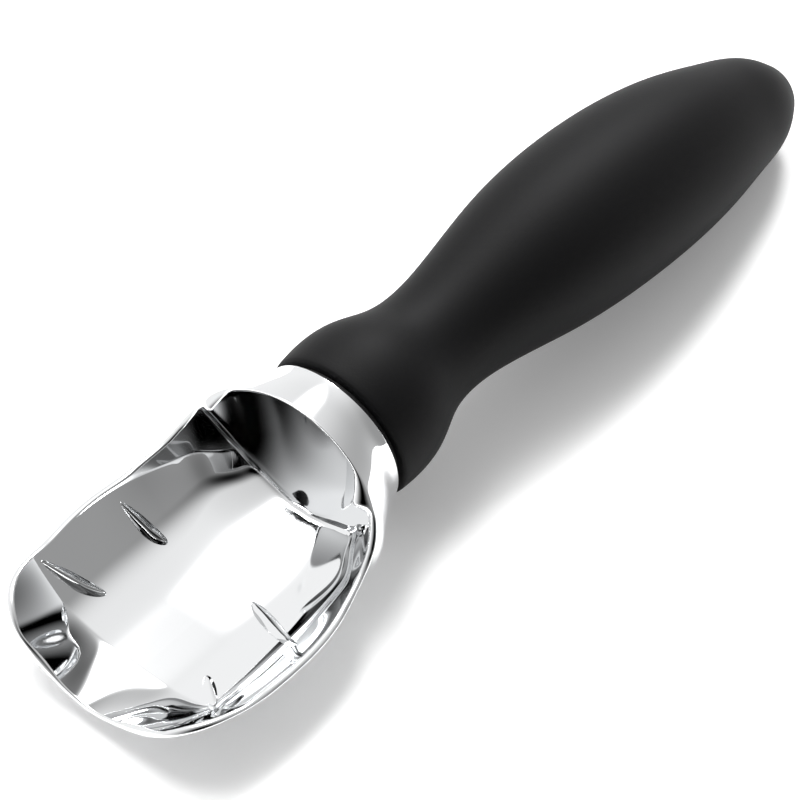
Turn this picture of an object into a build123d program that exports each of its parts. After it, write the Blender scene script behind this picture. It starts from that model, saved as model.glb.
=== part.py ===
from build123d import *
import math
import os

# Ice cream scoop with a cast head and a soft-touch handle. Units are millimetres and +Z is up.
# The shapes are drawn about the middle of the seam between head and handle, with the handle towards +X.
# Every node is then moved so that the part's origin is the middle of its footprint, on the table.

# Sizes of the head.
SEAM_R = 16.2            # outer radius of the collar where it meets the handle
BOWL_W = 59.4            # full width the bowl's walls would reach at the level of EQUATOR_Z
BOWL_REACH = 68.7        # from the seam to the front lip
HEAD_DROP = 20.7         # from the middle of the seam to the table
EQUATOR_Z = -2.3         # height of the widest part of the neck and of the bowl's walls
RIM_Z = -7.1             # height of the bowl's side rims
ARCH_X = -10.3           # the front edge of the collar, over the back wall
LIP_RISE = 2.8           # how far the floor turns up at the front lip
LIP_START = -48.0        # where it starts to turn up
FLOOR_T = 1.7            # wall thickness at the floor
SIDE_T = 1.0             # wall thickness at the rims
LIP_T = 0.8              # wall thickness at the front lip
DISH_R = 29.5            # radius of the hollow back wall
DISH_X = -3.8            # deepest point of the back wall
DISH_Z = -2.4
FOOT_CUT = 0.15          # depth of the flat ground under the bowl
RIDGE_W = 2.6            # width of each ridge in the bowl
RIDGE_H = 1.5            # half of its full height, most of which stands over the wall
RIDGE_SEAT = 0.5         # how far its middle stands over the wall's surface

# Sizes of the handle.
HANDLE_L = 142.5         # from the seam to the handle's end
MOUTH_R = 16.8
WAIST_R = 12.0
BELLY_R = 18.0
TAIL_R = 10.1
END_R = 7.5
TILT = 5.5               # degrees by which the collar and the handle's start rise towards the handle
BOW_R = 385.0            # radius of the arched centre line
SKIN_T = 2.2             # soft skin over the hard core
CORE_T = 3.0             # wall of the core round its hollow

# Sizes of the joint between them.
GASKET_T = 1.5
GASKET_RECESS = 1.5      # how far the gasket stands inside the collar's edge
SPIGOT_R = 11.0
SPIGOT_L = 10.0
SEAL_WIRE_R = 0.9
TANG_END = 62.0
TANG_W = 8.0
TANG_H = 11.0
TANG_Z = 1.2
SCREW_R = 1.5
SCREW_HEAD_R = 2.8
SCREW_HEAD_T = 2.0
SCREW_REACH = 7.0        # how far each screw goes past the split
SCREW_XS = (22.0, 53.0, 112.0)
PIN_R = 2.0
PIN_L = 15.0
PIN_X = 38.0

# Clearances.
BOND = 0.05              # between the skin and what it is moulded on
FIT = 0.1                # between the tang and its pocket, and between the two core halves
RUN = 0.05               # round the spigot, the seal, the pin and the screws

FRONT_X = -BOWL_REACH
ORIGIN = Pos(-(HANDLE_L + FRONT_X) / 2, 0, HEAD_DROP)


def lip(x, y, taper=0.0):
    """How far the floor is turned up at a point near the front lip."""
    ahead = max(0.0, (LIP_START - x) / (LIP_START - FRONT_X))
    return (LIP_RISE + taper + 0.005 * y * y) * ahead**2


def ring(x, half, top, bottom, inset=0.0, floor=0.0):
    """A closed section across the head: two half ellipses that meet at EQUATOR_Z."""
    taper = 0.0 if floor else FLOOR_T - LIP_T
    points = []
    for step in range(24):
        turn = math.radians(step * 15)
        y = (half - inset) * math.sin(turn)
        rise = top - EQUATOR_Z - inset if math.cos(turn) > 0 else EQUATOR_Z - bottom - floor
        points.append((x, y, EQUATOR_Z + rise * math.cos(turn) + lip(x, y, taper)))
    return Wire([Spline(points, periodic=True)])


def half_widths():
    """The half width of the head at each distance in front of the seam."""
    half = BOWL_W / 2
    return (
        (-6.0, SEAM_R + 0.14 * (half - SEAM_R)),
        (-12.0, SEAM_R + 0.45 * (half - SEAM_R)),
        (-20.0, 0.868 * half),
        (-32.0, 0.963 * half),
        (-45.0, half),
        (-60.0, 0.944 * half),
        (FRONT_X - 4.0, 0.87 * half),
    )


def bottom_at(x):
    """Height of the underside: it drops from the collar to the heel and then runs level."""
    heel = min(1.0, -x / 12.0)
    level = -HEAD_DROP - FOOT_CUT
    return -SEAM_R + (level + SEAM_R) * math.sin(math.radians(90 * heel))


def seam_plane(along=0.0):
    """The plane across the handle's axis at a distance behind the seam."""
    tilt = math.radians(TILT)
    return Plane(
        origin=(along * math.cos(tilt), 0, along * math.sin(tilt)),
        x_dir=(0, 1, 0),
        z_dir=(math.cos(tilt), 0, math.sin(tilt)),
    )


def head_outside():
    """The head's outer shape before it is opened: the collar, the neck and a closed bowl."""
    rings = [ring(x, half, SEAM_R - 0.1, bottom_at(x)) for x, half in half_widths()]
    collar = Wire([Spline(seam_ring(SEAM_R), periodic=True)])
    return Solid.make_loft([collar] + rings)


def seam_ring(radius):
    """Points round the collar at the seam, in the same order as those of a ring."""
    plane = seam_plane()
    turns = [math.radians(step * 15) for step in range(24)]
    return [plane.from_local_coords(Vector(radius * math.sin(t), radius * math.cos(t), 0)) for t in turns]


def head_inside():
    """The bowl's hollow before its back wall is shaped, open past the front lip."""
    rings = []
    for x, half in half_widths()[:-1]:
        rings.append(ring(x, half, SEAM_R, bottom_at(x), SIDE_T, FLOOR_T))
    x, half = half_widths()[-1]
    rings.append(ring(x - 4.0, half, SEAM_R, bottom_at(x), SIDE_T, FLOOR_T))
    return Solid.make_loft(rings)


def plan():
    """The bowl's outline seen from above, as a tall block."""
    half = BOWL_W / 2
    corner = (FRONT_X + 3.2, 0.72 * half)
    with BuildLine() as line:
        front = ThreePointArc((FRONT_X + 0.6, -15), (FRONT_X, 0), (FRONT_X + 0.6, 15))
        ThreePointArc(front @ 1, corner, (FRONT_X + 9.5, 0.885 * half))
        ThreePointArc((FRONT_X + 9.5, 0.885 * half), (-50, 0.965 * half), (-36, half + 1))
        Polyline((-36, half + 1), (6, half + 1), (6, -half - 1), (-36, -half - 1))
        ThreePointArc((-36, -half - 1), (-50, -0.965 * half), (FRONT_X + 9.5, -0.885 * half))
        ThreePointArc((FRONT_X + 9.5, -0.885 * half), (corner[0], -corner[1]), front @ 0)
    outline = make_face(line.line)
    return Pos(0, 0, -30) * extrude(outline, 60, dir=(0, 0, 1))


def above_rim():
    """What is cut away over the rims: level along the bowl, then up to the arch of the collar."""
    arch = (ARCH_X, SEAM_R + 2)
    with BuildLine(Plane.XZ) as line:
        level = Line((FRONT_X - 10, RIM_Z), (-37, RIM_Z))
        sweep_up = Spline(
            [(-37, RIM_Z), (-25.5, -5.6), (-16.2, -0.3), (-12.3, 7.0), (ARCH_X, SEAM_R)],
            tangents=[(1, 0), (0.1, 1)],
        )
        Polyline((ARCH_X, SEAM_R), arch, (ARCH_X, 40), (FRONT_X - 10, 40), (FRONT_X - 10, RIM_Z))
    face = make_face(line.line)
    return extrude(face, BOWL_W, both=True)


def floor_z(x, y):
    """Height of the bowl's inner surface."""
    stations = sorted(half_widths())
    half = stations[0][1]
    for (x0, h0), (x1, h1) in zip(stations, stations[1:]):
        if x0 <= x <= x1:
            half = h0 + (h1 - h0) * (x - x0) / (x1 - x0)
    deep = EQUATOR_Z - bottom_at(x) - FLOOR_T
    return EQUATOR_Z - deep * math.sqrt(1 - (y / (half - SIDE_T)) ** 2) + lip(x, y)


def ridge(inner, outer):
    """A leaf-shaped ridge up the bowl's wall. Each end is a share of the bowl's reach and of its half width."""
    ends = [(-BOWL_REACH * along, BOWL_W / 2 * across) for along, across in (inner, outer)]
    a, b = [Vector(x, y, floor_z(x, y)) for x, y in ends]
    middle = (a + b) * 0.5
    seat = Vector(middle.X, middle.Y, floor_z(middle.X, middle.Y) + RIDGE_SEAT)
    along = (b - a).normalized()
    side = along.cross(Vector(0, 0, 1)).normalized()
    plane = Plane(origin=seat, x_dir=along, z_dir=side.cross(along))
    leaf = scale(Sphere(1.0), by=((b - a).length / 2, RIDGE_W / 2, RIDGE_H))
    return plane * leaf


def ridges():
    """Two ridges on each side, fanned towards the front. Each runs up the wall from its inner end."""
    left_back = ridge((0.444, 0.515), (0.480, 0.828))
    left_front = ridge((0.680, 0.532), (0.777, 0.855))
    right_back = ridge((0.431, -0.175), (0.509, -0.721))
    right_front = ridge((0.699, -0.357), (0.809, -0.687))
    return [left_back, left_front, right_back, right_front]


def disc(radius, start, end):
    """A round disc or rod on the handle's axis, between two distances behind the seam."""
    return extrude(seam_plane(start) * Circle(radius), end - start)


def cross_rod(radius, x, low, high):
    """A rod along Y at a distance behind the seam."""
    face = Plane(origin=(x, low, TANG_Z), x_dir=(1, 0, 0), z_dir=(0, 1, 0)) * Circle(radius)
    return extrude(face, high - low)


def tang(clearance=0.0):
    """The flat bar that runs back from the spigot into the core."""
    length = TANG_END - SPIGOT_L + 3.0 + clearance
    bar = Box(length, TANG_W + 2 * clearance, TANG_H + 2 * clearance)
    return Pos(SPIGOT_L - 3.0 + length / 2, 0, TANG_Z) * bar


def seal_groove():
    """The groove round the spigot that holds the seal."""
    middle = GASKET_T + 5.0
    depth = 2 * SEAL_WIRE_R - RUN
    start = middle - SEAL_WIRE_R - 0.15
    end = middle + SEAL_WIRE_R + 0.15
    return disc(SPIGOT_R + 1, start, end) - disc(SPIGOT_R - depth, start - 1, end + 1)


def make_head():
    body = head_outside() & plan()
    hollow = head_inside()
    dish = Pos(DISH_X - DISH_R, 0, DISH_Z) * Sphere(DISH_R)
    ahead = Pos(DISH_X - DISH_R - 50, 0, 0) * Box(100, 90, 90)
    cavity = hollow & (dish + ahead)
    body = body - cavity - above_rim()
    for leaf in ridges():
        body = body + leaf
    body = body - Pos(-30, 0, -HEAD_DROP - 5) * Box(120, 80, 10)
    body = body + disc(SPIGOT_R, -2.0, SPIGOT_L) + tang()
    body = body - seal_groove()
    for x in SCREW_XS[:2]:
        body = body - cross_rod(SCREW_R + 0.2, x, -TANG_W, TANG_W)
    return body - cross_rod(PIN_R + RUN, PIN_X, -TANG_W, TANG_W)


def make_gasket():
    ring_ = disc(SEAM_R - GASKET_RECESS, RUN, GASKET_T - RUN)
    return ring_ - disc(SPIGOT_R + RUN, -1, GASKET_T + 1)


def make_seal():
    centre = seam_plane(GASKET_T + 5.0)
    return centre * Torus(SPIGOT_R - SEAL_WIRE_R + RUN, SEAL_WIRE_R - RUN)


def centre_plane(x):
    """The plane across the handle's arched centre line at a distance behind the seam."""
    slope = math.tan(math.radians(TILT)) - x / BOW_R
    angle = math.atan(slope)
    z = x * math.tan(math.radians(TILT)) - x * x / (2 * BOW_R)
    return Plane(origin=(x, 0, z), x_dir=(0, 1, 0), z_dir=(math.cos(angle), 0, math.sin(angle)))


def grip_radii():
    """Distance behind the seam and radius of each section of the handle."""
    return (
        (GASKET_T, MOUTH_R - 0.3),
        (0.05 * HANDLE_L, MOUTH_R),
        (0.101 * HANDLE_L, 0.93 * MOUTH_R),
        (0.145 * HANDLE_L, WAIST_R + 0.25 * (MOUTH_R - WAIST_R)),
        (0.204 * HANDLE_L, WAIST_R),
        (0.281 * HANDLE_L, WAIST_R + 0.19 * (BELLY_R - WAIST_R)),
        (0.404 * HANDLE_L, WAIST_R + 0.72 * (BELLY_R - WAIST_R)),
        (0.58 * HANDLE_L, BELLY_R),
        (0.775 * HANDLE_L, TAIL_R + 0.71 * (BELLY_R - TAIL_R)),
        (0.867 * HANDLE_L, TAIL_R + 0.37 * (BELLY_R - TAIL_R)),
        (0.937 * HANDLE_L, TAIL_R),
        (0.969 * HANDLE_L, END_R),
    )


def handle_body(inset=0.0):
    """The handle's round body along its arched centre line, smaller all round by an inset."""
    stations = grip_radii()[:-1] if inset else grip_radii()
    rings = []
    for x, radius in stations:
        rings.append(Wire([Edge.make_circle(radius - inset, centre_plane(x))]))
    body = Solid.make_loft(rings)
    height = HANDLE_L - stations[-1][0] - inset
    return body + end_cap(stations[-1][0], stations[-1][1] - inset, height)


def end_cap(x, radius, height):
    """The rounded end: a slice of a ball on the last section."""
    ball = (radius**2 + height**2) / (2 * height)
    plane = centre_plane(x)
    whole = plane * Pos(0, 0, height - ball) * Sphere(ball)
    keep = plane * Pos(0, 0, height) * Box(4 * ball, 4 * ball, 2 * height)
    return whole & keep


def core_body(inset=SKIN_T + BOND):
    """The hard core before it is split and hollowed."""
    front = GASKET_T + SKIN_T + BOND
    behind = seam_plane(front) * Pos(0, 0, 100) * Box(80, 80, 200)
    return handle_body(inset) & behind


def core_hollow():
    """The room inside the core behind the tang, with ribs left across it."""
    room = handle_body(SKIN_T + CORE_T) & Pos(150, 0, 0) * Box(2 * (150 - TANG_END - 4), 80, 80)
    for x in (80.0, 95.0):
        room = room - centre_plane(x) * Box(60, 60, 2)
    boss = cross_rod(SCREW_HEAD_R + 2.0, SCREW_XS[2], -30, 30)
    return room - Pos(0, 0, last_screw_drop()) * boss


def last_screw_drop():
    """How far the last screw sits under the level of the tang, so that it meets the centre line."""
    return centre_plane(SCREW_XS[2]).origin.Z - TANG_Z


def screw_seats():
    """Depth at which each screw's head bears in the core, with the screw's drop below the tang's level."""
    seats = []
    for x in SCREW_XS:
        drop = last_screw_drop() if x == SCREW_XS[2] else 0.0
        seats.append((x, -TANG_W / 2 - 3.0, drop))
    return seats


def make_screw(x, seat, drop):
    """One pan-head self-tapping screw, put in from the -Y side."""
    shank = cross_rod(SCREW_R, x, seat, SCREW_REACH)
    head = cross_rod(SCREW_HEAD_R, x, seat - SCREW_HEAD_T, seat)
    slot = Pos(x, seat - SCREW_HEAD_T, TANG_Z) * (Box(3.2, 2.0, 0.8) + Box(0.8, 2.0, 3.2))
    return Pos(0, 0, drop) * (shank + head - slot)


def make_core():
    """The two core halves, split along the plane y = 0."""
    body = core_body() - core_hollow() - disc(SPIGOT_R + RUN, 0, SPIGOT_L + FIT) - tang(FIT)
    body = body - cross_rod(PIN_R + RUN, PIN_X, -PIN_L / 2 - RUN, PIN_L / 2 + RUN)
    for x, seat, drop in screw_seats():
        hole = cross_rod(SCREW_R + RUN, x, seat - 1, SCREW_REACH + 0.5)
        well = cross_rod(SCREW_HEAD_R + 0.2, x, -30, seat)
        body = body - Pos(0, 0, drop) * (hole + well)
    left = body & Pos(75, 50 + FIT / 2, 0) * Box(200, 100, 80)
    right = body & Pos(75, -50 - FIT / 2, 0) * Box(200, 100, 80)
    return left, right


def make_grip():
    """The soft skin: the whole handle less the core and the opening for the spigot."""
    return handle_body() - core_body(SKIN_T) - disc(SPIGOT_R + 0.3, -1, SPIGOT_L)


def save(node, *solids):
    """Write one node's solids, moved to the part's origin."""
    placed = [ORIGIN * solid for piece in solids for solid in piece.solids()]
    shape = placed[0] if len(placed) == 1 else Compound(children=placed)
    export_step(shape, f"parts/{node}.step")


os.makedirs("parts", exist_ok=True)
core_left, core_right = make_core()
save("scoop_head", make_head())
save("collar_gasket", make_gasket())
save("tang_seal", make_seal())
save("handle_core_left", core_left)
save("handle_core_right", core_right)
save("core_screws", *[make_screw(*seat) for seat in screw_seats()])
save("tang_pin", cross_rod(PIN_R, PIN_X, -PIN_L / 2, PIN_L / 2))
save("grip_overmould", make_grip())
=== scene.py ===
import math

import bmesh
import bpy
import numpy as np
from mathutils import Matrix, Vector


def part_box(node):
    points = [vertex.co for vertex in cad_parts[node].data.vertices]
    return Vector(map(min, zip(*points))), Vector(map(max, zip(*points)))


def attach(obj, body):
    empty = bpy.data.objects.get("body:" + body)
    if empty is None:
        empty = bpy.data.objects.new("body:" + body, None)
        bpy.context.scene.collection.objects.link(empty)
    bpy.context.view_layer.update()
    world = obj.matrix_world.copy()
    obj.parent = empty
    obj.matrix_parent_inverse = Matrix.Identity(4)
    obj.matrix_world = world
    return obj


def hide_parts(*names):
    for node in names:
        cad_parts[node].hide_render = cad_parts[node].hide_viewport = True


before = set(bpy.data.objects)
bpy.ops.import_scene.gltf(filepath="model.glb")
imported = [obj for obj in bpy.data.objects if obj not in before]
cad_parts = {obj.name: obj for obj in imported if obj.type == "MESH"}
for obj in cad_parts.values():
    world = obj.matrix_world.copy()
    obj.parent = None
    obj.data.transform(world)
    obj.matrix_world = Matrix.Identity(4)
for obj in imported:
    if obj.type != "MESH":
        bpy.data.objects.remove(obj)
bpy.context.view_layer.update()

# ---------------------------------------------------------------- sizes, in millimetres
# The head and the handle are drawn about the middle of the seam between them, as in the solids:
# x runs from the bowl's lip (less than zero) to the handle's end, z up out of the bowl.
SEAM_R = 16.2          # collar at the seam
ARCH_TOP = 16.1        # top of the collar over the back wall
BOWL_HALF = 29.7       # half width the bowl's walls reach at their widest level
BOWL_REACH = 68.7      # from the seam to the front lip
HEAD_DROP = 20.7       # from the middle of the seam to the table
WIDEST_Z = -2.3        # level of the widest part of the collar and the neck
RIM_Z = -7.1           # level of the side rims
ARCH_X = -10.3         # front edge of the collar

# The outer wall
SEAM_EASE = 6.0        # stretch over which the wall eases out of the seam's circle
HEEL_REACH = 12.0      # from the seam to the heel, where the underside reaches the table
WALL_DROP = 23.3       # where its ellipse would end below the seam's middle if not ground level
GROUND_EASE = 1.6      # rounding where it meets the ground flat
NECK_X = -14.0         # where the neck ends and the bowl starts to open out
OPENING = 13.0         # stretch over which it opens out
BOWL_WIDEST_Z = 5.0    # level of the widest part where it has opened out

# The front lip
LIP_START = -48.0      # where the underside starts to turn up
FRONT_START = -54.0    # where the bowl's floor starts to turn up
LIP_RISE = 2.8         # how far it has turned up at the lip
LIP_POWER = 1.8        # how late the underside turns up: 1 evenly, more is later
FRONT_POWER = 1.35     # how late the floor does
CORNER_RISE = 4.1      # how much more it turns up at the front corners
CORNER_Y = 11.0        # how far aside the corners start

# Wall thicknesses
LIP_T = 0.8
FLOOR_T = 1.7
SIDE_T = 1.0
ARCH_T = 0.9

# The bowl's inside
FLOOR_LEVEL = -18.8    # the level part of the floor
FLOOR_BEND = -40.0     # from there back to the neck it curves up
FLOOR_RISE = 3.3       # by this much
FLOOR_CREASE = 1.3     # rounding between the floor and the walls
APRON_START = 0.5      # where the floor starts to slope up to the walls, as a share of its width
APRON_SLOPE = 0.26
APRON_EASE = 2.0       # rounding of that bend
WALL_COSINE = 0.72     # of the side walls' slope
UPPER_SLOPE = 0.35     # how far the walls run out above the side rim's level, against below it
WALL_EASE = 1.5        # rounding where the walls meet the ellipse that keeps them in the outer wall
ELLIPSE_R = 17.0       # mean radius of that ellipse, which makes millimetres of its ratio
BACK_X = -15.24        # back wall on the middle line at the seam's level
BACK_LEAN = 0.444      # how far it leans forward per millimetre up
BACK_FLARE = 0.198     # how far it runs back per millimetre aside
BACK_SLANT = 1.11      # length of its slope, which makes a true distance of it
BACK_EASE = 3.0        # rounding of the back wall on the middle line
DISH_EDGE = 0.5        # rounding of the edge of the hollow in the back wall
CREASE_R = 0.9         # rounding where the back wall meets the bowl
RIM_INSET = 0.05       # the rim's inner edge, as a share of the way in to the middle

# The handle
TILT = math.radians(5.5)
BOW_R = 385.0
HANDLE_L = 142.5
MOUTH_R, WAIST_R, BELLY_R, TAIL_R, END_R = 16.8, 12.0, 18.0, 10.1, 7.5
MOUTH_X = 1.5          # the mouth's front face behind the seam
MOUTH_EDGE = 0.7       # rounding of the mouth's edge
MOUTH_LAND_R = 13.5    # a ring on the mouth's front face
SKIN_T = 2.2
SPIGOT_R = 11.0
SPIGOT_ROOM = 0.3      # round the spigot where it goes into the skin
END_TRIM, SKIN_TRIM = 0.2, 0.02   # keep the drawn skin just within the solid one's box

seam_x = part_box("scoop_head")[0].x * 1000 + BOWL_REACH
SEAM = np.array([seam_x, 0.0, HEAD_DROP])


def to_row(points):
    """Millimetres about the seam's middle, as metres in the row frame."""
    return (np.asarray(points, float) + SEAM) / 1000.0


def through(knots, at):
    """The smoothest curve through the knots (natural cubic spline), read at each place in at."""
    xs, ys = np.array(sorted(knots), float).T
    gap = np.diff(xs)
    n = len(xs)
    system = np.eye(n)
    right = np.zeros(n)
    inner = np.arange(1, n - 1)
    system[inner, inner - 1] = gap[:-1]
    system[inner, inner] = 2 * (gap[:-1] + gap[1:])
    system[inner, inner + 1] = gap[1:]
    right[1:-1] = 6 * (np.diff(ys)[1:] / gap[1:] - np.diff(ys)[:-1] / gap[:-1])
    bend = np.linalg.solve(system, right)
    at = np.clip(at, xs[0], xs[-1])
    i = np.clip(np.searchsorted(xs, at) - 1, 0, n - 2)
    h, a, b = gap[i], xs[i + 1] - at, at - xs[i]
    cubic = (bend[i] * a**3 + bend[i + 1] * b**3) / (6 * h)
    line = (ys[i] / h - bend[i] * h / 6) * a + (ys[i + 1] / h - bend[i + 1] * h / 6) * b
    return cubic + line


# ---------------------------------------------------------------- the head's form

# Half width of the outer wall at its widest level, by distance from the seam.
HALF_WIDTHS = (
    (0.0, SEAM_R), (-3.0, 17.4), (-6.0, 19.3), (-10.5, 22.0), (-12.5, 23.1), (-17.0, 24.4),
    (-20.1, 25.6), (-26.0, 28.7), (-34.7, 31.2), (-45.0, 31.6), (-60.0, 30.6), (-74.0, 29.6),
)
# Half width of the floor, by distance from the seam.
FLOOR_WIDTHS = (
    (-5.0, 5.5), (-7.0, 7.5), (-9.0, 9.8), (-11.0, 11.0), (-14.0, 12.3), (-17.0, 13.5),
    (-20.0, 14.5), (-27.0, 15.2), (-45.0, 15.6), (-60.0, 15.0), (-76.0, 14.0),
)
# How much wider the inside is at the side rim's level than at the floor.
WALL_REACHES = (
    (-5.0, 4.6), (-7.0, 5.0), (-11.0, 5.4), (-14.5, 7.3), (-17.0, 8.4), (-20.0, 8.9),
    (-26.0, 10.2), (-34.7, 11.8), (-45.0, 12.0), (-56.0, 11.6), (-76.0, 12.0),
)
# The hollow in the back wall: its deepest point and its radius, by level.
DISH_DEPTHS = (
    (-16.0, -9.4), (-13.3, -9.0), (-8.9, -8.2), (-4.8, -7.5), (0.45, -6.8), (6.3, -6.1), (15.0, -5.6),
)
DISH_RADII = (
    (-16.0, 13.0), (-13.3, 14.0), (-8.9, 17.0), (-4.8, 18.2), (0.45, 19.9), (6.3, 22.2), (15.0, 26.0),
)
# The rim from the arch down its side: run along it, distance from the seam, and turn round the
# section in degrees from straight down.
SIDE_RIM = (
    (0.0, ARCH_X, 180.0), (3.5, ARCH_X, 170.8), (8.1, -10.5, 158.0), (13.1, -10.9, 145.4),
    (18.5, -11.6, 132.0), (24.2, -12.7, 116.4), (29.2, -14.5, 102.9), (33.3, -17.0, 90.3),
    (37.2, -20.1, 79.6), (43.7, -26.0, 68.1), (52.7, -34.7, 64.9), (63.0, -45.0, 63.8),
    (74.0, -56.0, 61.7),
)
SIDE_RIM_END_X = -52.5
# The rim round the front: run along it, distance from the seam, and half width.
FRONT_RIM = (
    (0.0, -53.0, 27.6), (4.1, -57.0, 27.0), (7.2, -60.0, 26.1), (11.3, -63.6, 24.1),
    (14.8, -66.0, 21.5), (18.6, -67.6, 18.1), (21.7, -68.0, 15.1), (24.9, -68.25, 11.9),
    (28.2, -68.38, 8.6), (32.0, -68.47, 4.8), (36.8, -68.5, 0.0),
)


def half_width(x):
    return through(HALF_WIDTHS, x)


def rounded_min(a, b, radius):
    """The lower of two fields, with their meeting rounded over about that radius."""
    near = np.maximum(radius - np.abs(a - b), 0) / radius
    return np.minimum(a, b) - near**2 * radius / 4


def heel(x):
    """0 at the seam to 1 at the heel, where the underside reaches the table."""
    return np.sin(np.clip(-np.asarray(x, float) / HEEL_REACH, 0, 1) * math.pi / 2)


def turned_up(x, y, start, rise, power):
    """How far a surface has turned up at a place near the front lip: more toward the corners."""
    ahead = np.clip((start - x) / (start + BOWL_REACH), 0, 2)
    corner = CORNER_RISE * (1 - np.exp(-(y / CORNER_Y) ** 2))
    return (rise + corner) * ahead**power


def middle_level(x):
    """Level of the section's middle: it rises ahead of the neck, where the walls open out."""
    ahead = np.clip((NECK_X - x) / OPENING, 0, 1)
    opened = ahead**2 * (3 - 2 * ahead)
    return WIDEST_Z + (BOWL_WIDEST_Z - WIDEST_Z) * opened


def outside(x, turn):
    """The outer wall: half ellipses across the head, turn measured round from straight down, with
    the lowest part ground level where it rests. y = half width x sin(turn), z = middle - rise x
    cos(turn), eased into the seam's circle, then cut level and turned up at the lip."""
    y = half_width(x) * np.sin(turn)
    middle = middle_level(x)
    low = middle + SEAM_R + (WALL_DROP - SEAM_R) * heel(x)
    rise = np.where(np.cos(turn) > 0, low, ARCH_TOP - middle)
    seam = np.clip(1 + x / SEAM_EASE, 0, 1) ** 2
    z = middle - rise * np.cos(turn)
    z = (1 - seam) * z + seam * (-SEAM_R * np.cos(turn))
    z = -rounded_min(-z, np.full_like(z, HEAD_DROP), GROUND_EASE)
    z = z + turned_up(x, y, LIP_START, LIP_RISE + FLOOR_T - LIP_T, LIP_POWER)
    lean = seam * (-z * math.tan(TILT))
    return np.stack([x + lean, y, np.maximum(z, -HEAD_DROP)], -1)


def inner_field(p):
    """Less than zero inside the bowl. Straight walls slope up from the floor, steeper above the
    side rim's level, and stay within an ellipse across the head. The floor is level on the middle
    line and slopes up a little to the walls. The back wall leans forward as it rises and runs back
    as it goes aside, and an upright hollow is cut into it: circles that grow with height."""
    x, y, z = p[..., 0], p[..., 1], p[..., 2]
    level = z - turned_up(x, y, FRONT_START, LIP_RISE, FRONT_POWER)
    middle = middle_level(x)
    tall = np.where(level > middle, ARCH_TOP - ARCH_T - middle, middle + WALL_DROP - SIDE_T)
    ratio = np.sqrt((y / (half_width(x) - SIDE_T)) ** 2 + ((level - middle) / tall) ** 2)
    part = (level - FLOOR_LEVEL) / (RIM_Z - FLOOR_LEVEL)
    part = np.where(part > 1, 1 + (part - 1) * UPPER_SLOPE, part)
    floor_width = through(FLOOR_WIDTHS, x)
    wall = (np.abs(y) - floor_width - through(WALL_REACHES, x) * part) * WALL_COSINE
    trough = -rounded_min(-wall, -(ratio - 1) * ELLIPSE_R, WALL_EASE)

    rise = FLOOR_RISE * np.clip((x - FLOOR_BEND) / (NECK_X - FLOOR_BEND), 0, 1.3) ** 2
    past = np.abs(y) - APRON_START * floor_width
    apron = APRON_SLOPE * (past + np.hypot(past, APRON_EASE)) / 2
    trough = -rounded_min(-trough, level - FLOOR_LEVEL - rise - apron, FLOOR_CREASE)

    aside = np.hypot(y, BACK_EASE) - BACK_EASE
    back = (x - BACK_X + BACK_LEAN * z - BACK_FLARE * aside) / BACK_SLANT
    radius = through(DISH_RADII, z)
    hollow = np.hypot(x - through(DISH_DEPTHS, z) + radius, y) - radius
    behind = rounded_min(back, hollow, DISH_EDGE)
    return -rounded_min(-trough, -behind, CREASE_R)


def reach_wall(start, way):
    """How far each ray goes from start before it meets the bowl's wall, by halving."""
    low = np.zeros(way.shape[:-1])
    high = np.full(way.shape[:-1], 80.0)
    for _ in range(40):
        mid = (low + high) / 2
        inside = inner_field(start + mid[..., None] * way) < 0
        low = np.where(inside, mid, low)
        high = np.where(inside, high, mid)
    return low


def column(table, k):
    """A table's first column with its column k, as knots."""
    return [(row[0], row[k]) for row in table]


def rim_line(count):
    """Places (distance, turn) round the rim on the outer wall, evenly spaced, starting at the arch:
    one side, half the front, and the same mirrored."""
    side_run = 73.0              # past the place where the front's rim takes over
    s = np.linspace(0, side_run, 700)
    x_side = through(column(SIDE_RIM, 1), s)
    turn_side = np.radians(through(column(SIDE_RIM, 2), s))
    s = np.linspace(0, FRONT_RIM[-1][0], 400)
    x_front = through(column(FRONT_RIM, 1), s)
    y_front = through(column(FRONT_RIM, 2), s)
    turn_front = np.arcsin(np.clip(y_front / half_width(x_front), 0, 1))

    keep = x_side > SIDE_RIM_END_X
    x = np.concatenate([x_side[keep], x_front])
    turn = np.concatenate([turn_side[keep], turn_front])
    place = outside(x, turn)
    step = np.concatenate([[0], np.cumsum(np.linalg.norm(np.diff(place, axis=0), axis=1))])
    even = np.linspace(0, step[-1], count // 2 + 1)
    x = np.interp(even, step, x)
    turn = np.interp(even, step, turn)

    pad = 4                      # a running mean over nine places smooths the joins
    ease = np.ones(2 * pad + 1) / (2 * pad + 1)
    x = np.convolve(np.pad(x, pad, mode="reflect"), ease, "valid")
    turn = np.convolve(np.pad(turn, pad, mode="reflect", reflect_type="odd"), ease, "valid")
    return np.concatenate([x, x[-2:0:-1]]), np.concatenate([turn, -turn[-2:0:-1]])


# The raised ridges: inner end and outer end, each as shares of the bowl's reach and half width, and
# how far the ridge stands over the wall.
RIDGES = (
    ((0.444, 0.515), (0.480, 0.828), 1.4),
    ((0.680, 0.532), (0.777, 0.855), 1.4),
    ((0.431, -0.175), (0.509, -0.721), 0.7),
    ((0.699, -0.357), (0.800, -0.640), 0.3),
)
RIDGE_W = 2.9
RIDGE_CREST = 0.5      # rounding of the crest, as a share of the half width
RIDGE_ROOT = 0.3       # how far its underside is sunk into the wall
RIDGE_EDGE = 0.05      # how far its edges are


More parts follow.
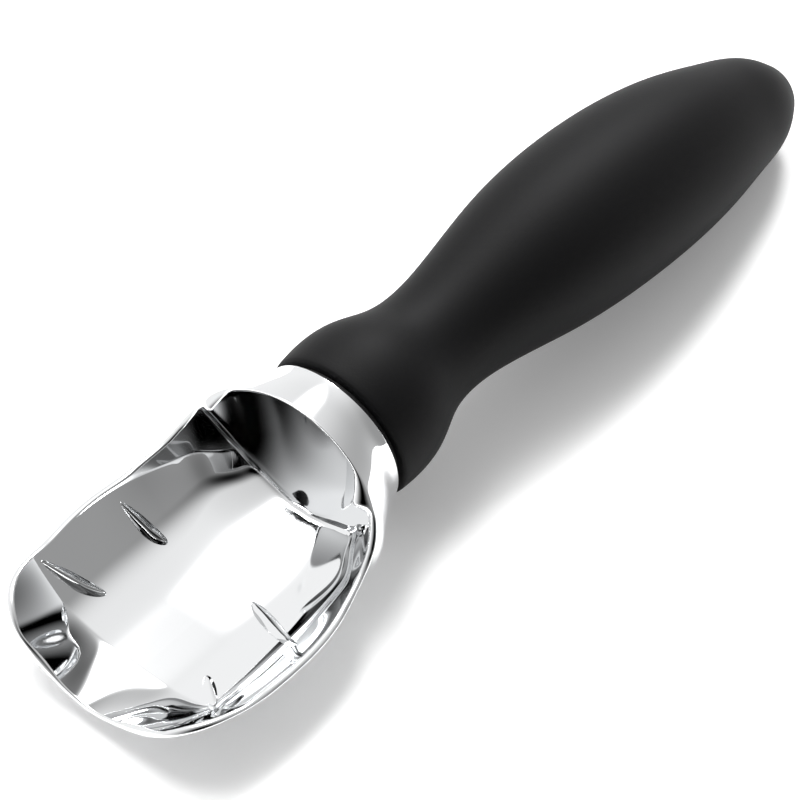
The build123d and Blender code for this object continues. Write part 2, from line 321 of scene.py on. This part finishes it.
def smooth_mesh(name, points, faces, material):
    """A mesh object from metres in the row frame and lists of corners, shaded smooth."""
    mesh = bpy.data.meshes.new(name)
    mesh.from_pydata(points.tolist(), [], faces)
    mesh.materials.append(material)
    mesh.polygons.foreach_set("use_smooth", np.ones(len(mesh.polygons), bool))
    mesh.update()
    obj = bpy.data.objects.new(name, mesh)
    bpy.context.scene.collection.objects.link(obj)
    return obj


def ring_faces(rows, count):
    """Corners of the skin over rows of closed rings, with a point before the first ring and one
    after the last, numbered after all the rings."""
    r = np.arange(rows - 1)[:, None]
    c = np.arange(count)
    n = (c + 1) % count
    quads = np.stack([r * count + c, r * count + n, (r + 1) * count + n, (r + 1) * count + c], -1)
    last = (rows - 1) * count
    first_cap = np.stack([n, c, np.full(count, rows * count)], -1)
    last_cap = np.stack([last + c, last + n, np.full(count, rows * count + 1)], -1)
    return quads.reshape(-1, 4).tolist() + first_cap.tolist() + last_cap.tolist()


def unit(vectors):
    return vectors / np.linalg.norm(vectors, axis=-1, keepdims=True)


def head_points(count):
    """The head as closed rings, from the middle of the seam face over the outer wall, the rim and
    the bowl to the middle of its floor. Ring for ring: a disc; straight lines between the seam and
    the rim in (distance, turn); half a rounded bead from the outer to the inner rim; rays from a
    point over the bowl, turned from the rim to straight down and stopped at the wall."""
    outer_rings, bead_points, inner_rings = 70, 8, 170
    eye = np.array([-36.0, 0.0, 4.0])
    crowding = 1.2               # above 1, the rings inside lie closer together near the rim

    x_rim, turn_rim = rim_line(count)
    turn_seam = np.linspace(math.pi, -math.pi, count + 1)[:-1]
    blend = np.linspace(0, 1, outer_rings)[:, None]
    turn = turn_rim + (turn_seam - turn_rim) * (1 - blend) ** 3
    outer = outside(blend * x_rim, turn)
    disc = outer[:1] * np.array([0.05, 0.35, 0.7, 0.93])[:, None, None]

    edge = outer[-1]
    middle = np.array([0.0, 0.0, WIDEST_Z])
    within = edge * [1, 0, 0] + middle + (edge * [0, 1, 1] - middle) * (1 - RIM_INSET)
    way = unit(within - eye)
    down = np.array([0.0, 0.0, -1.0])
    angle = np.arccos(np.clip(way @ down, -1, 1))
    part = (np.linspace(0, 1, inner_rings)[:-1] ** crowding)[:, None]
    rays = np.sin((1 - part) * angle)[..., None] * way + np.sin(part * angle)[..., None] * down
    rays = rays / np.sin(angle)[:, None]
    inner = eye + reach_wall(eye, rays)[..., None] * rays
    floor = eye + reach_wall(eye, down[None])[0] * down

    bead = np.linspace(0, math.pi, bead_points)[1:-1]
    span = inner[0] - edge
    out = unit(np.cross(np.roll(edge, -1, 0) - np.roll(edge, 1, 0), span))
    out = out * np.sign(np.sum(out * (edge - outer[-2]), -1, keepdims=True))
    bulge = out * np.linalg.norm(span, axis=-1, keepdims=True) / 4
    across = ((1 - np.cos(bead)) / 2)[:, None, None]
    rim = edge + span * across + bulge * np.sin(bead)[:, None, None]
    return np.concatenate([disc, outer, rim, inner]), outer[0].mean(0), floor


def make_head(material):
    """The polished head: one closed skin of rings, with a point at each end."""
    count = 400
    rings, seam_mid, floor_mid = head_points(count)
    points = np.concatenate([rings.reshape(-1, 3), [seam_mid], [floor_mid]])
    return smooth_mesh("scoop_head_polished", to_row(points), ring_faces(len(rings), count), material)


def ridge_points(inner, outer, tall):
    """One ridge as closed rings across it and its two end points: a leaf sunk a little into the
    wall, with a rounded roof. Height = tall x body x (1 - rounded distance from the crest), with
    body = sin(pi s^0.75)^0.6 along the ridge, so it is fuller toward its inner end."""
    rows, top, under = 60, 21, 7
    tip = 0.04                   # short of the pointed ends, as an angle of the cosine spacing
    above_wall = 2.0             # level from which the wall is looked for, straight down
    s = 0.5 - 0.5 * np.cos(np.linspace(tip, math.pi - tip, rows))
    body = np.sin(math.pi * s**0.75) ** 0.6
    w = np.concatenate([np.linspace(-1, 1, top), np.linspace(1, -1, under + 2)[1:-1]])
    slope = (np.hypot(w, RIDGE_CREST) - RIDGE_CREST) / (math.hypot(1, RIDGE_CREST) - RIDGE_CREST)
    above = np.arange(top + under) < top

    a = np.array([-BOWL_REACH * inner[0], BOWL_HALF * inner[1]])
    b = np.array([-BOWL_REACH * outer[0], BOWL_HALF * outer[1]])
    way = (b - a) / np.linalg.norm(b - a)
    side = np.array([-way[1], way[0]])
    wide = RIDGE_W / 2 * body
    plan = a + (b - a) * s[:, None, None] + side * (w * wide[:, None])[..., None]
    start = np.concatenate([plan, np.full(plan.shape[:-1] + (1,), above_wall)], -1)
    down = np.broadcast_to([0.0, 0.0, -1.0], start.shape)
    wall = start + reach_wall(start, down)[..., None] * down
    roof = wall[:, :top]
    up = unit(np.cross(np.gradient(roof, axis=0), np.gradient(roof, axis=1))).mean(1, keepdims=True)
    up = up * np.sign(up[..., 2:])
    height = np.where(above, tall * (1 - slope) * body[:, None] - RIDGE_EDGE, -RIDGE_ROOT)
    rings = wall + height[..., None] * up
    return rings, np.concatenate([rings[:1].mean(1), rings[-1:].mean(1)])


def make_ridges(material):
    """The four raised ridges in the bowl, as one mesh of four closed leaves."""
    points, faces = [], []
    for inner, outer, tall in RIDGES:
        rings, ends = ridge_points(inner, outer, tall)
        first = sum(len(p) for p in points)
        points.append(np.concatenate([rings.reshape(-1, 3), ends]))
        faces += [[first + corner for corner in face] for face in ring_faces(*rings.shape[:2])]
    obj = smooth_mesh("scoop_head_ridges", to_row(np.concatenate(points)), faces, material)
    work = bmesh.new()
    work.from_mesh(obj.data)
    bmesh.ops.recalc_face_normals(work, faces=work.faces)
    work.to_mesh(obj.data)
    work.free()
    return obj


def make_tang(material):
    """The spigot and tang behind the seam, cut from the solid head and closed."""
    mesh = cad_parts["scoop_head"].data.copy()
    work = bmesh.new()
    work.from_mesh(mesh)
    bmesh.ops.remove_doubles(work, verts=work.verts, dist=1e-6)
    behind = 0.02                # past the seam's plane, so that the two skins don't share it
    across = Vector((math.cos(TILT), 0, math.sin(TILT)))
    cut = Vector(to_row([behind * math.cos(TILT), 0, behind * math.sin(TILT)]))
    everything = work.verts[:] + work.edges[:] + work.faces[:]
    bmesh.ops.bisect_plane(work, geom=everything, plane_co=cut, plane_no=across, clear_inner=True)
    bmesh.ops.edgeloop_fill(work, edges=[edge for edge in work.edges if edge.is_boundary])
    work.to_mesh(mesh)
    work.free()
    mesh.materials.clear()
    mesh.materials.append(material)
    obj = bpy.data.objects.new("scoop_head_tang", mesh)
    bpy.context.scene.collection.objects.link(obj)
    return obj


# ---------------------------------------------------------------- the handle's form

# Radius of the skin, by share of the handle's length.
GRIP_RADII = (
    (0.0, MOUTH_R - 0.45),
    (0.05, MOUTH_R),
    (0.101, 0.93 * MOUTH_R),
    (0.145, WAIST_R + 0.25 * (MOUTH_R - WAIST_R)),
    (0.204, WAIST_R),
    (0.281, WAIST_R + 0.19 * (BELLY_R - WAIST_R)),
    (0.404, WAIST_R + 0.72 * (BELLY_R - WAIST_R)),
    (0.58, BELLY_R),
    (0.775, TAIL_R + 0.71 * (BELLY_R - TAIL_R)),
    (0.867, TAIL_R + 0.37 * (BELLY_R - TAIL_R)),
    (0.937, TAIL_R),
    (0.969, END_R),
)


def along_bow(x, radius, count):
    """Circles round the arched centre line at distances x behind the seam."""
    slope = math.tan(TILT) - x / BOW_R
    lean = np.arctan(slope)
    middle = np.stack([x, np.zeros_like(x), x * math.tan(TILT) - x * x / (2 * BOW_R)], -1)
    up = np.stack([-np.sin(lean), np.zeros_like(x), np.cos(lean)], -1)
    side = np.array([0.0, 1.0, 0.0])
    turn = np.linspace(0, 2 * math.pi, count + 1)[:-1]
    ring = np.cos(turn)[None, :, None] * side + np.sin(turn)[None, :, None] * up[:, None]
    return middle[:, None] + radius[:, None, None] * ring


def grip_profile(inset, steps):
    """Distance and radius along the handle: the spline through its sections, and a ball at the
    end, whose radius = (base^2 + height^2) / (2 height). The inner face's ball starts sooner."""
    last_x, last_r = GRIP_RADII[-1][0] * HANDLE_L, END_R
    if inset:
        last_x, last_r = GRIP_RADII[-2][0] * HANDLE_L, TAIL_R
    start = MOUTH_X + (SKIN_T if inset else 0.0)
    x = np.linspace(start, last_x, steps)
    radius = through(GRIP_RADII, x / HANDLE_L) - inset - SKIN_TRIM
    height = HANDLE_L - END_TRIM - last_x - inset
    base = last_r - inset
    ball = (base**2 + height**2) / (2 * height)
    near_tip = 0.02              # angle at which the ball's last ring stops
    sweep = np.linspace(math.asin(min(1.0, base / ball)), near_tip, 24)[1:]
    x = np.concatenate([x, last_x + height - ball + ball * np.cos(sweep)])
    return x, np.concatenate([radius, ball * np.sin(sweep)])


def make_grip(material):
    """The soft skin: its outer face from the end to the mouth, a rounded mouth edge, the front
    wall with its round opening, and its inner face back to the end."""
    count = 160
    x_out, r_out = grip_profile(0.0, 240)
    x_in, r_in = grip_profile(SKIN_T, 80)
    keep = x_out > MOUTH_X + MOUTH_EDGE
    turn = np.linspace(0.2, math.pi / 2, 6)
    x_edge = MOUTH_X + MOUTH_EDGE * (1 - np.sin(turn))
    r_edge = r_out[0] - MOUTH_EDGE * (1 - np.cos(turn)) + SKIN_TRIM
    opening = SPIGOT_R + SPIGOT_ROOM
    wall_x = np.array([MOUTH_X, MOUTH_X, MOUTH_X + SKIN_T])
    wall_r = np.array([MOUTH_LAND_R, opening, opening])
    x = np.concatenate([x_out[keep][::-1], x_edge, wall_x, x_in])
    r = np.concatenate([r_out[keep][::-1], r_edge, wall_r, r_in])
    rings = along_bow(x, r, count)
    ends = np.stack([rings[0].mean(0), rings[-1].mean(0)])
    ends[0, 0] += 0.01           # the tip stands a hair past its last ring
    points = np.concatenate([rings.reshape(-1, 3), ends])
    return smooth_mesh("grip_skin", to_row(points), ring_faces(len(x), count), material)


# ---------------------------------------------------------------- materials

def linear(hex_colour):
    """An sRGB hex colour as linear RGBA."""
    parts = [int(hex_colour[i:i + 2], 16) / 255 for i in (1, 3, 5)]
    return [p / 12.92 if p <= 0.04045 else ((p + 0.055) / 1.055) ** 2.4 for p in parts] + [1.0]


def node(tree, kind, settings=None, sockets=None, links=None):
    """Adds a shader node: its settings, its sockets' values, and links into it {socket: (node, output)}."""
    made = tree.nodes.new(kind)
    for key, value in (settings or {}).items():
        setattr(made, key, value)
    for key, value in (sockets or {}).items():
        made.inputs[key].default_value = value
    for key, (source, output) in (links or {}).items():
        tree.links.new(source.outputs[output], made.inputs[key])
    return made


def material(name, sockets, pattern=None):
    """A Principled material. pattern, where given, adds what varies over the surface."""
    made = bpy.data.materials.new(name)
    made.use_nodes = True
    tree = made.node_tree
    shader = tree.nodes["Principled BSDF"]
    for key, value in sockets.items():
        shader.inputs[key].default_value = value
    if pattern:
        pattern(tree, shader)
    return made


def fine_grain(size_mm, depth_mm):
    """A grained surface: noise bumps of that size and depth, in Object coordinates."""
    def pattern(tree, shader):
        place = node(tree, "ShaderNodeTexCoord")
        grain = node(tree, "ShaderNodeTexNoise", None, {"Scale": 1000 / size_mm, "Detail": 2.0},
                     {"Vector": (place, "Object")})
        bump = node(tree, "ShaderNodeBump", None, {"Strength": 1.0, "Distance": depth_mm / 1000},
                    {"Height": (grain, "Fac")})
        tree.links.new(bump.outputs["Normal"], shader.inputs["Normal"])
    return pattern


# Bright chrome plating on a buffed casting: a clean mirror, a little cooler than white.
chrome = material("chrome plating, mirror polished", {
    "Base Color": linear("#f0f1f2"), "Metallic": 1.0, "Roughness": 0.03})
# Soft-touch elastomer moulded in a finely blasted tool: near black, with a broad dull highlight.
soft_touch = material("soft-touch TPE, fine blasted grain", {
    "Base Color": linear("#0e0e0f"), "Roughness": 0.6, "IOR": 1.2}, fine_grain(0.45, 0.02))
# Moulded EPDM rubber: near black and dull.
gasket_rubber = material("EPDM rubber, moulded", {
    "Base Color": linear("#060606"), "Roughness": 0.7})
# Moulded nitrile rubber: a little lighter and smoother.
seal_rubber = material("nitrile rubber, moulded", {
    "Base Color": linear("#141414"), "Roughness": 0.55})
# Glass-filled nylon as moulded: dark grey and dry, with a faint grain.
core_nylon = material("glass-filled nylon, moulded", {
    "Base Color": linear("#3a3a3d"), "Roughness": 0.6}, fine_grain(0.8, 0.02))
# Zinc-plated steel screws: pale and slightly cloudy.
screw_zinc = material("zinc-plated steel, barrel plated", {
    "Base Color": linear("#c4c7cc"), "Metallic": 1.0, "Roughness": 0.32})
# Ground stainless pin: fine dull lustre.
pin_steel = material("stainless steel, centreless ground", {
    "Base Color": linear("#c9c9c8"), "Metallic": 1.0, "Roughness": 0.25})

# ---------------------------------------------------------------- pieces

head = make_head(chrome)
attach(head, "root")
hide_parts("scoop_head")
ridges = make_ridges(chrome)
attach(ridges, "root")
tang = make_tang(chrome)
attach(tang, "root")
grip = make_grip(soft_touch)
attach(grip, "root")
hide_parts("grip_overmould")

for name, finish in (
    ("collar_gasket", gasket_rubber),
    ("tang_seal", seal_rubber),
    ("handle_core_left", core_nylon),
    ("handle_core_right", core_nylon),
    ("core_screws", screw_zinc),
    ("tang_pin", pin_steel),
):
    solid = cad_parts[name]
    solid.data.materials.clear()
    solid.data.materials.append(finish)

# ---------------------------------------------------------------- studio

scene = bpy.context.scene
scene.view_settings.view_transform = "Standard"


def floor_paper():
    """Matt white paper that takes the shadow. What it lacks to white is added for the rays that
    see it: from the camera, and those that a shiny or clear surface sends on."""
    made = material("paper sweep, matt white", {
        "Base Color": linear("#f2f2f2"), "Roughness": 0.9, "Specular IOR Level": 0.0})
    tree = made.node_tree
    shader = tree.nodes["Principled BSDF"]
    path = node(tree, "ShaderNodeLightPath")
    sent_on = node(tree, "ShaderNodeMath", {"operation": "MAXIMUM"}, None,
                   {0: (path, "Is Glossy Ray"), 1: (path, "Is Transmission Ray")})
    seen = node(tree, "ShaderNodeMath", {"operation": "MAXIMUM"}, None,
                {0: (path, "Is Camera Ray"), 1: (sent_on, "Value")})
    lift = 0.2                   # enough to bring it to white outside the shadow
    added = node(tree, "ShaderNodeMath", {"operation": "MULTIPLY"}, {1: lift}, {0: (seen, "Value")})
    tree.links.new(added.outputs["Value"], shader.inputs["Emission Strength"])
    shader.inputs["Emission Color"].default_value = (1, 1, 1, 1)
    return made


def patch(tree, away, azimuth, elevation, inner, outer, level, power):
    """The level within the inner angle of a direction and 1 beyond the outer one, all in degrees;
    a power above 1 draws the edge out softly."""
    az, el = math.radians(azimuth), math.radians(elevation)
    toward = (math.cos(el) * math.cos(az), math.cos(el) * math.sin(az), math.sin(el))
    dot = node(tree, "ShaderNodeVectorMath", {"operation": "DOT_PRODUCT"}, {1: toward},
               {0: (away, "Generated")})
    angle = node(tree, "ShaderNodeMath", {"operation": "ARCCOSINE"}, None, {0: (dot, "Value")})
    share = node(tree, "ShaderNodeMapRange", {"interpolation_type": "SMOOTHSTEP"},
                 {"From Min": math.radians(inner), "From Max": math.radians(outer),
                  "To Min": 1.0, "To Max": 0.0}, {"Value": (angle, "Value")})
    eased = node(tree, "ShaderNodeMath", {"operation": "POWER"}, {1: power}, {0: (share, 0)})
    return node(tree, "ShaderNodeMath", {"operation": "MULTIPLY_ADD"}, {1: level - 1.0, 2: 1.0},
                {0: (eased, 0)})


def studio_world(patches):
    """White all round, with dark flags and soft lamps in it; the camera sees plain white."""
    world = bpy.data.worlds.new("studio")
    world.use_nodes = True
    tree = world.node_tree
    back = tree.nodes["Background"]
    away = node(tree, "ShaderNodeTexCoord")
    light = patch(tree, away, *patches[0])
    for spot in patches[1:]:
        light = node(tree, "ShaderNodeMath", {"operation": "MULTIPLY"}, None,
                     {0: (light, 0), 1: (patch(tree, away, *spot), 0)})
    path = node(tree, "ShaderNodeLightPath")
    white = node(tree, "ShaderNodeMix", {"data_type": "FLOAT"}, {"B": 1.0},
                 {"Factor": (path, "Is Camera Ray"), "A": (light, 0)})
    tree.links.new(white.outputs["Result"], back.inputs["Strength"])
    back.inputs["Color"].default_value = (1, 1, 1, 1)
    return world


# Patches of the studio: azimuth and elevation of the middle, inner and outer angle of the edge in
# degrees, the level in the middle, and the power of the edge.
PATCHES = (
    (214, 34, 12, 72, 0.0, 1.0),     # dark flag on the camera's side, which darkens the hollow
    (288, 15, 25, 85, 0.34, 1.0),    # grey flag to the right, in the far wall of the bowl
    (12, 22, 0, 44, 0.0, 1.0),       # dark flag behind the handle, in the rise to the lip
    (80, 65, 3, 33, 15.0, 4.0),      # main lamp, high behind: the shadow, and the white in the floor
    (27, 43, 2, 17, 115.0, 3.0),     # second lamp, lower: the highlight along the handle
)
FLOOR_REACH = 3.0        # in metres, from the middle to each side

corners = [(-1, -1), (1, -1), (1, 1), (-1, 1)]
floor_mesh = bpy.data.meshes.new("floor")
floor_mesh.from_pydata([(FLOOR_REACH * x, FLOOR_REACH * y, 0) for x, y in corners], [], [(0, 1, 2, 3)])
floor_mesh.materials.append(floor_paper())
floor = bpy.data.objects.new("floor", floor_mesh)
scene.collection.objects.link(floor)
scene.world = studio_world(PATCHES)

# The camera, in millimetres from the middle of the seam, and the ways that are right and back in it.
CAMERA_FROM_SEAM = (-326.55, -293.41, 490.05)
CAMERA_RIGHT = Vector((0.646887, -0.762586, 0.0))
CAMERA_BACK = Vector((-0.514089, -0.436092, 0.738610))
camera_data = bpy.data.cameras.new("camera")
camera_data.lens = 157.5
camera_data.sensor_width = 36.0
camera_data.clip_end = 10
camera = bpy.data.objects.new("camera", camera_data)
scene.collection.objects.link(camera)
camera_up = CAMERA_BACK.cross(CAMERA_RIGHT)
aim = Matrix((CAMERA_RIGHT, camera_up, CAMERA_BACK)).transposed().to_4x4()
camera.matrix_world = Matrix.Translation(Vector(to_row(CAMERA_FROM_SEAM))) @ aim
scene.camera = camera
